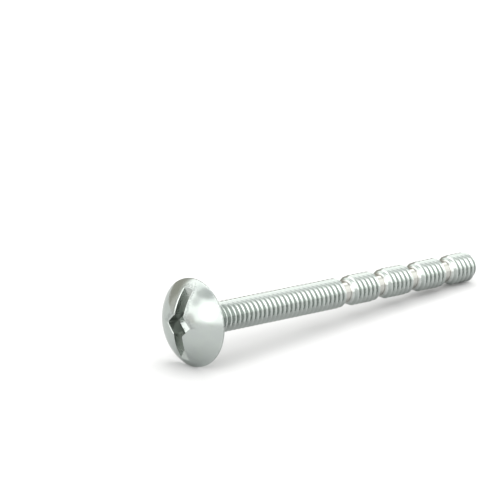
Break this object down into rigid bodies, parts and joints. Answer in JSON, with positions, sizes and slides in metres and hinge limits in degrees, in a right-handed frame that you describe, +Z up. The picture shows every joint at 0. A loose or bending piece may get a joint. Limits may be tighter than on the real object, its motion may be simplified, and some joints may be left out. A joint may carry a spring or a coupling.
{
  "type": "breakaway machine screw",
  "caption": "Truss head machine screw with a straight slot across a square recess and a threaded shank notched so that its end snaps off to length.",
  "frame": {"origin": "on the floor plane at z = 0, under the middle of the screw's length", "axes": "+X along the screw from head to point, +Z up from the surface that it lies on, +Y across it"},
  "size_m": [0.0535, 0.0114, 0.0114],
  "materials": {
    "zinc_plated_steel": "bright zinc plate over steel, smooth and fairly glossy"
  },
  "bodies": {
    "root": {"breakaway_screw": "zinc_plated_steel"}
  },
  "joints": []
}
